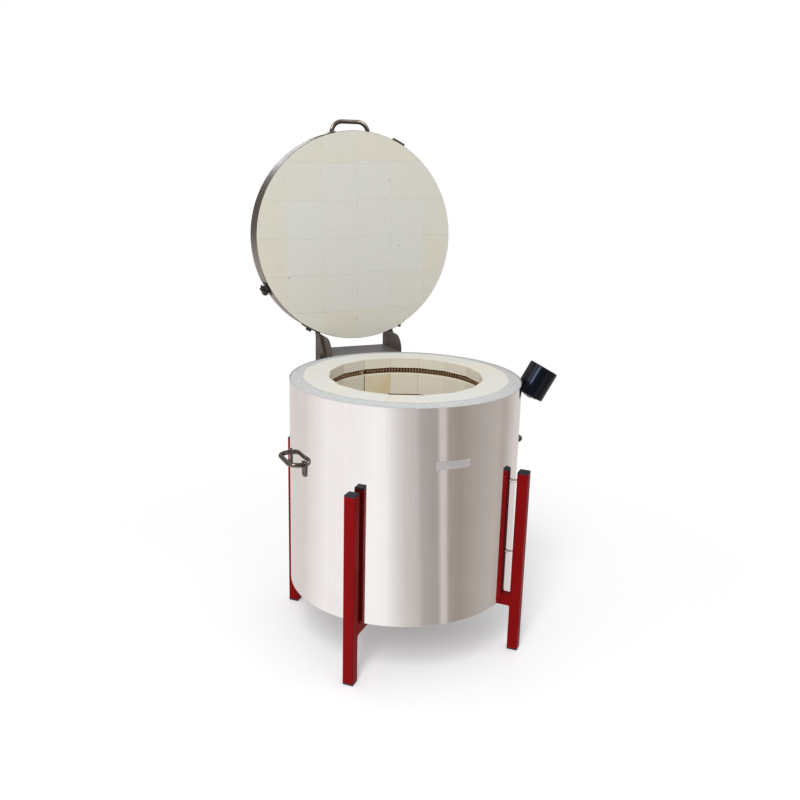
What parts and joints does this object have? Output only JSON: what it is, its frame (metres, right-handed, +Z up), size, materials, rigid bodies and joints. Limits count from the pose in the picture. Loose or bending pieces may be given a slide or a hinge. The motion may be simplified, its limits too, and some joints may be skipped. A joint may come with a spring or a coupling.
{
  "type": "electric kiln",
  "caption": "Round top-loading electric kiln with a brick chamber in a polished casing, a hinged brick lid, side handles and a square-tube stand.",
  "frame": {"origin": "centre of the chamber floor, on the kiln's upright axis", "axes": "+Z up, -Y to the front, +Y to the hinge, +X to the right seen from the front"},
  "size_m": [0.7615, 0.7665, 1.3803],
  "materials": {
    "polished_steel": "polished stainless sheet",
    "hinge_steel": "rolled plate, dull",
    "plain_steel": "zinc plated",
    "firebrick": "porous insulating brick",
    "ceramic_fibre": "felted blanket",
    "heating_wire": "oxidised wire",
    "porcelain": "fired",
    "brass": "turned",
    "black_plastic": "moulded",
    "red_enamel": "gloss powder coat"
  },
  "bodies": {
    "kiln_body": {"casing": "polished_steel", "base_pan": "plain_steel", "base_board": "ceramic_fibre", "floor_bricks": "firebrick", "wall_bricks_lower": "firebrick", "wall_bricks_upper": "firebrick", "fibre_jacket": "ceramic_fibre", "heating_coil_top": "heating_wire", "heating_coils_lower": "heating_wire", "element_leads": "heating_wire", "lead_bushes": "porcelain", "element_clamps": "brass", "terminal_box": "plain_steel", "terminal_box_cover": "plain_steel", "terminal_box_screws": "plain_steel", "cable_gland": "black_plastic", "thermocouple_sheath": "porcelain", "thermocouple_head": "plain_steel", "leg_front_left": "red_enamel", "leg_front_right": "red_enamel", "leg_rear_left": "red_enamel", "leg_rear_right": "red_enamel", "stand_beam": "red_enamel", "stand_beam_left": "red_enamel", "stand_beam_right": "red_enamel", "leg_caps": "black_plastic", "leg_feet": "black_plastic", "leg_spacers": "plain_steel", "leg_studs": "plain_steel", "handle_left": "polished_steel", "handle_right": "polished_steel", "handle_lugs": "polished_steel", "handle_nuts": "polished_steel", "hinge_pads": "hinge_steel", "hinge_cheek_left": "hinge_steel", "hinge_cheek_right": "hinge_steel", "hinge_web": "hinge_steel", "hinge_pins": "plain_steel", "hinge_washers": "plain_steel", "hinge_clips": "plain_steel", "hinge_stops": "plain_steel", "hinge_nuts": "plain_steel", "pod_bracket": "plain_steel", "pod_cup": "black_plastic", "pod_cap": "black_plastic", "pod_screws": "plain_steel"},
    "lid": {"lid_bricks": "firebrick", "lid_fibre": "ceramic_fibre", "lid_band": "polished_steel", "lid_cover": "polished_steel", "lid_arm_left": "hinge_steel", "lid_arm_right": "hinge_steel", "lid_arm_bolts": "plain_steel", "lid_handle": "polished_steel", "lid_clamp_lugs": "plain_steel", "lid_clamp_screw": "plain_steel", "lid_catch_plate": "plain_steel"}
  },
  "joints": [
    {"name": "lid_hinge", "type": "hinge", "parent": "kiln_body", "child": "lid", "pos_m": [0, 0.346, 0.4453], "axis": [1, 0, 0], "range_deg": [0, 92.35]}
  ]
}
